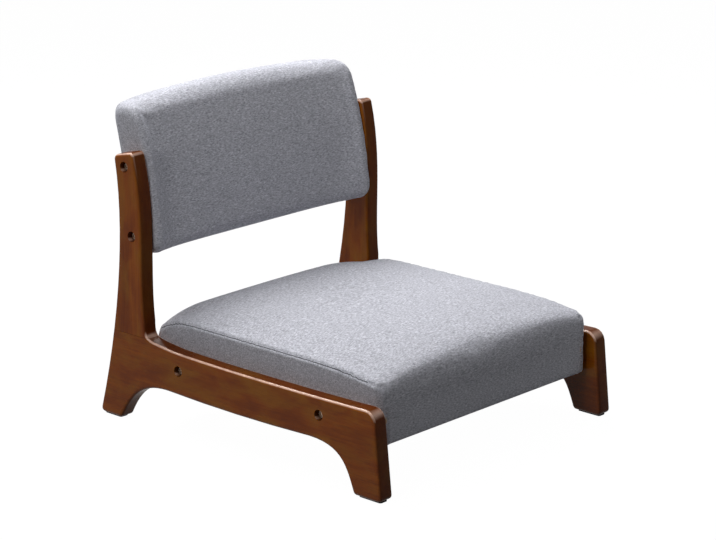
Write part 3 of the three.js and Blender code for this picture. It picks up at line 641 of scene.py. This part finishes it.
def swell(piece, pinned, limit):
    """Swells a padded cover by a pressure simulation. pinned(point) is True where the cover can't move."""
    remesh = piece.modifiers.new("even_cells", "REMESH")
    remesh.mode = "VOXEL"
    remesh.voxel_size = VOXEL
    remesh.use_smooth_shade = True
    apply_modifiers(piece)
    rest = [v.co.copy() for v in piece.data.vertices]
    pins = piece.vertex_groups.new(name="pins")
    pins.add([i for i, point in enumerate(rest) if pinned(point)], 1.0, "REPLACE")
    cloth = piece.modifiers.new("pressure", "CLOTH")
    cloth.settings.vertex_group_mass = "pins"
    cloth.settings.use_pressure = True
    cloth.settings.uniform_pressure_force = CLOTH_PRESSURE
    cloth.settings.effector_weights.gravity = 0
    cloth.settings.tension_stiffness = 30
    cloth.settings.compression_stiffness = 15
    cloth.settings.shear_stiffness = 12
    cloth.settings.bending_stiffness = 2
    cloth.point_cache.frame_start = 1
    cloth.point_cache.frame_end = CLOTH_FRAMES
    scene = bpy.context.scene
    for number in range(1, CLOTH_FRAMES + 1):
        scene.frame_set(number)
    apply_modifiers(piece)
    scene.frame_set(1)
    for vertex, start in zip(piece.data.vertices, rest):
        moved = vertex.co - start
        if moved.length > limit:
            vertex.co = start + moved * (limit / moved.length)
    piece.vertex_groups.clear()
    subdivision = piece.modifiers.new("finer", "SUBSURF")
    subdivision.levels = subdivision.render_levels = 1
    even = piece.modifiers.new("even", "SMOOTH")
    even.factor = 0.5
    even.iterations = EVENING_STEPS
    apply_modifiers(piece)


def sew(piece, lines, groove_depth, pucker=0.0):
    """Sinks the seams into the cover, with the welt and puckers beside them."""
    tree, along = nearest_on(lines)
    drift, drift_pace = PUCKER_DRIFT
    mesh = piece.data
    normals = [v.normal.copy() for v in mesh.vertices]
    for vertex, normal in zip(mesh.vertices, normals):
        _, index, distance = tree.find(vertex.co)
        if distance > 3 * PUCKER_REACH:
            continue
        phase = along[index] / PUCKER_LENGTH * 2 * math.pi
        ripple = math.sin(phase + drift * math.sin(drift_pace * phase)) * math.exp(-((distance / PUCKER_REACH) ** 2))
        groove = -math.exp(-((distance / GROOVE_REACH) ** 2))
        welt = WELT_SHARE * math.exp(-(((distance - WELT_PLACE) / GROOVE_REACH) ** 2))
        vertex.co += normal * (groove_depth * (groove + welt) + pucker * ripple)
    mesh.update()


def seam_thread(name, piece, lines):
    """The stitched line at the bottom of each seam's groove."""
    lines = [[point for point in line if point.y > STITCHES_FROM] for line in lines]
    mesh = piece.data
    surface = BVHTree.FromPolygons([v.co for v in mesh.vertices], [tuple(p.vertices) for p in mesh.polygons])
    curve = bpy.data.curves.new(name, "CURVE")
    curve.dimensions = "3D"
    curve.bevel_depth = THREAD_RADIUS
    curve.bevel_resolution = 2
    for line in lines:
        spline = curve.splines.new("POLY")
        spline.points.add(len(line) - 1)
        for point, target in zip(spline.points, line):
            found = surface.find_nearest(target)[0]
            point.co = (*found, 1)
    curve.materials.append(MATERIALS["thread"])
    thread_piece = bpy.data.objects.new(name, curve)
    bpy.context.scene.collection.objects.link(thread_piece)
    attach(thread_piece, "root")


def keep_between_frames(piece):
    """Holds the cover off the wood beside it."""
    limit = SEAT_HIGH.x
    for vertex in piece.data.vertices:
        vertex.co.x = max(-limit, min(limit, vertex.co.x))


def make_seat():
    vertices, faces = loft(seat_rings())
    seat = new_piece("seat_upholstery", vertices, faces, "fabric", "upholstery_fabric")
    lines = [dense(seat_seam(side)) for side in (-1, 1)]
    tree, _ = nearest_on(lines)
    swell(seat, lambda p: p.z < SEAT_HARD_HEIGHT or tree.find(p)[2] < PIN_REACH, SEAT_SWELL_LIMIT)
    keep_between_frames(seat)
    sew(seat, lines, SEAT_GROOVE_DEPTH, PUCKER_HEIGHT)
    keep_between_frames(seat)
    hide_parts("seat_cover", "seat_foam")
    seam_thread("seat_seams", seat, lines)


def hollow_share(from_end, place):
    """The hollow's share of its depth: it falls straight from the end panel's seam to its place and eases out."""
    start = BACK_END_RADIUS * (1 - math.cos(BACK_SEAM_ANGLE))
    shares = []
    for shift in (-1, -0.5, 0, 0.5, 1):
        distance = from_end + shift * BACK_HOLLOW_ROUNDING
        straight = max(0, (distance - start) / (place - start))
        shares.append(straight if distance < place else math.exp((place - distance) / BACK_HOLLOW_EASE))
    return sum(shares) / len(shares)


def hollow_ends(piece):
    """Sinks the front in beside each end panel."""
    inward = back_place().inverted()
    front = back_place().to_3x3() @ Vector((0, -1, 0))
    mesh = piece.data
    normals = [v.normal.copy() for v in mesh.vertices]
    for vertex, normal in zip(mesh.vertices, normals):
        facing = max(0, normal.dot(front))
        height = (inward @ vertex.co).z
        place = BACK_HOLLOW_TOP_PLACE + BACK_HOLLOW_WIDENING * (1 - height / BACK_TOP_RISE)
        depth = float(np.interp(height, BACK_HOLLOW_HEIGHTS, BACK_HOLLOW_DEPTHS))
        depth *= BACK_LEFT_HOLLOW_SHARE if vertex.co.x > 0 else 1
        vertex.co -= normal * (depth * facing ** 2 * hollow_share(SEAT_HIGH.x - abs(vertex.co.x), place))
    mesh.update()


def make_back():
    vertices, faces = loft(back_rings())
    back = new_piece("backrest_upholstery", vertices, faces, "fabric", "upholstery_fabric")
    lines = [dense(back_seam(side)) for side in (-1, 1)]
    tree, _ = nearest_on(lines)
    end_panel = SEAT_HIGH.x - BACK_END_PANEL
    swell(back, lambda p: abs(p.x) > end_panel or tree.find(p)[2] < PIN_REACH, BACK_SWELL_LIMIT)
    keep_between_frames(back)
    hollow_ends(back)
    sew(back, lines, BACK_GROOVE_DEPTH)
    keep_between_frames(back)
    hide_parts("backrest_cover", "backrest_front_foam", "backrest_rear_foam")


# ---------------------------------------------------------------- hardware
def make_bolt(side, node, name):
    """A cap bolt with a hexagon socket, along X from its tip to the top of its head."""
    low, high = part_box(node)
    y, z = (low.y + high.y) / 2, (low.z + high.z) / 2
    tip = min(abs(low.x), abs(high.x))
    head_top = max(abs(low.x), abs(high.x))
    head_face = head_top - BOLT_HEAD_HEIGHT
    head_radius = (high.z - low.z) / 2
    turn = np.arange(BOLT_STEPS) * 2 * math.pi / BOLT_STEPS
    def round_ring(radius, along):
        return [(along, radius * math.cos(a), radius * math.sin(a)) for a in turn]
    def hex_ring(radius, along):
        ring = []
        for a in turn:
            reach = radius * math.cos(math.pi / 6) / math.cos(a % (math.pi / 3) - math.pi / 6)
            ring.append((along, reach * math.cos(a), reach * math.sin(a)))
        return ring
    rings = [
        round_ring(BOLT_RADIUS - 0.4 * MM, tip),
        round_ring(BOLT_RADIUS, tip + 0.6 * MM),
        round_ring(BOLT_RADIUS, head_face),
        round_ring(head_radius - BOLT_CHAMFER, head_face),
        round_ring(head_radius, head_face + BOLT_CHAMFER),
        round_ring(head_radius, head_top - BOLT_HEAD_ROUNDING),
        round_ring(head_radius - 0.25 * MM, head_top - 0.25 * MM),
        round_ring(head_radius - BOLT_HEAD_ROUNDING, head_top),
        hex_ring(BOLT_SOCKET_RADIUS + 0.2 * MM, head_top),
        hex_ring(BOLT_SOCKET_RADIUS, head_top - BOLT_CHAMFER),
        hex_ring(BOLT_SOCKET_RADIUS, head_top - BOLT_SOCKET_DEPTH),
        round_ring(BOLT_SOCKET_RADIUS - 1.5 * MM, head_top - BOLT_SOCKET_DEPTH - 0.5 * MM),
    ]
    placed = [[(side * x, y + side * dy, z + dz) for x, dy, dz in ring] for ring in rings]
    bolt = new_piece(name, *loft(placed), "steel", "bolt_steel")
    mark_creases(bolt, BOLT_CREASE, recalculate=True)
    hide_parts(node)


# ---------------------------------------------------------------- studio
def sees_background(tree):
    """1 for what the camera sees, directly or in a reflection, and 0 for the light on the chair."""
    light_path = tree.nodes.new("ShaderNodeLightPath")
    seen = light_path.outputs["Is Camera Ray"]
    for kind in ("Is Glossy Ray", "Is Transmission Ray"):
        either = tree.nodes.new("ShaderNodeMath")
        either.operation = "MAXIMUM"
        tree.links.new(seen, either.inputs[0])
        tree.links.new(light_path.outputs[kind], either.inputs[1])
        seen = either.outputs[0]
    return seen


def make_floor():
    """White to the camera but for a faint shadow, and a plain grey to the light on the chair."""
    reach = FLOOR_REACH
    corners = [(-reach, -reach, 0), (reach, -reach, 0), (reach, reach, 0), (-reach, reach, 0)]
    mesh = bpy.data.meshes.new("floor")
    mesh.from_pydata(corners, [], [(0, 1, 2, 3)])
    material = bpy.data.materials.new("studio_floor")
    material.use_nodes = True
    tree = material.node_tree
    tree.nodes.remove(tree.nodes["Principled BSDF"])
    output = tree.nodes["Material Output"]
    matt = tree.nodes.new("ShaderNodeBsdfDiffuse")
    matt.inputs["Color"].default_value = FLOOR_TONE
    white = tree.nodes.new("ShaderNodeEmission")
    white.inputs["Strength"].default_value = FLOOR_GLOW
    seen = tree.nodes.new("ShaderNodeMixShader")
    seen.inputs["Fac"].default_value = FLOOR_SHADOW_SHARE
    tree.links.new(white.outputs[0], seen.inputs[1])
    tree.links.new(matt.outputs[0], seen.inputs[2])
    choose = tree.nodes.new("ShaderNodeMixShader")
    tree.links.new(sees_background(tree), choose.inputs["Fac"])
    tree.links.new(matt.outputs[0], choose.inputs[1])
    tree.links.new(seen.outputs[0], choose.inputs[2])
    tree.links.new(choose.outputs[0], output.inputs["Surface"])
    mesh.materials.append(material)
    floor = bpy.data.objects.new("floor", mesh)
    floor.location.z = -FLOOR_DROP
    bpy.context.scene.collection.objects.link(floor)


def make_world():
    """A white backdrop to the camera, and a little even light on the chair."""
    world = bpy.data.worlds.new("studio")
    world.use_nodes = True
    tree = world.node_tree
    ambient = tree.nodes["Background"]
    ambient.inputs["Color"].default_value = (0.96, 0.98, 1.0, 1)
    ambient.inputs["Strength"].default_value = AMBIENT_STRENGTH
    backdrop = tree.nodes.new("ShaderNodeBackground")
    backdrop.inputs["Color"].default_value = (1, 1, 1, 1)
    choose = tree.nodes.new("ShaderNodeMixShader")
    tree.links.new(sees_background(tree), choose.inputs["Fac"])
    tree.links.new(ambient.outputs[0], choose.inputs[1])
    tree.links.new(backdrop.outputs[0], choose.inputs[2])
    tree.links.new(choose.outputs[0], tree.nodes["World Output"].inputs["Surface"])
    bpy.context.scene.world = world


def make_lamp(name, place, width, power):
    """A square soft lamp that faces the chair."""
    light = bpy.data.lights.new(name, "AREA")
    light.shape = "RECTANGLE"
    light.size = light.size_y = width
    light.energy = power
    lamp = bpy.data.objects.new(name, light)
    lamp.location = place
    lamp.rotation_euler = (Vector(place) - LAMP_TARGET).to_track_quat("Z", "Y").to_euler()
    bpy.context.scene.collection.objects.link(lamp)


def make_camera():
    """At the photograph's viewpoint, with its view."""
    data = bpy.data.cameras.new("camera")
    data.sensor_fit = "HORIZONTAL"
    data.sensor_width = SENSOR_WIDTH
    data.lens = FOCAL_PIXELS * SENSOR_WIDTH / IMAGE_WIDTH_PIXELS
    data.clip_end = 30
    backward = Vector((
        math.sin(CAMERA_AZIMUTH) * math.cos(CAMERA_ELEVATION),
        -math.cos(CAMERA_AZIMUTH) * math.cos(CAMERA_ELEVATION),
        math.sin(CAMERA_ELEVATION),
    ))
    right = Vector((math.cos(CAMERA_AZIMUTH), math.sin(CAMERA_AZIMUTH), 0))
    up = backward.cross(right)
    camera = bpy.data.objects.new("camera", data)
    turned = Matrix((right, up, backward)).transposed().to_4x4()
    camera.matrix_world = Matrix.Translation(CAMERA_PLACE) @ turned
    bpy.context.scene.collection.objects.link(camera)
    bpy.context.scene.camera = camera


# ---------------------------------------------------------------- the chair
def dress_frames():
    for side in ("right", "left"):
        smooth_copy(f"{side}_side_base", f"{side}_base_board", "wood_lengthwise", "lacquered_wood")
        smooth_copy(f"{side}_side_post", f"{side}_post_board", "wood_upright", "lacquered_wood")


def dress_bolts():
    for side_name, side in (("right", -1), ("left", 1)):
        for place in ("seat_front", "seat_rear", "back_lower", "back_upper"):
            make_bolt(side, f"{side_name}_{place}_bolt", f"{side_name}_{place}_cap_bolt")


def finish_nodes():
    """A material for each CAD node that is carried over as it is."""
    endings = [
        ("_dowel", "wood_bare"), ("_foot_pad", "felt"), ("_washer", "steel"), ("_insert", "steel"),
        ("_bolt", "steel"), ("foam", "foam"), ("_dust_cover", "lining"), ("_front_rail", "wood_across"),
        ("_rear_rail", "wood_across"), ("_right_rail", "wood_bare"), ("_left_rail", "wood_bare"),
        ("_block", "wood_across"), ("_panel", "wood_across"), ("_cover", "fabric"),
        ("_side_base", "wood_lengthwise"), ("_side_post", "wood_upright"),
    ]
    for name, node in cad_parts.items():
        material = next(MATERIALS[key] for ending, key in endings if name.endswith(ending))
        node.data.materials.clear()
        node.data.materials.append(material)


finish_nodes()
dress_frames()
dress_bolts()
make_seat()
make_back()

make_floor()
make_world()
for lamp in LAMPS:
    make_lamp(*lamp)
make_camera()
bpy.context.scene.view_settings.view_transform = "Standard"
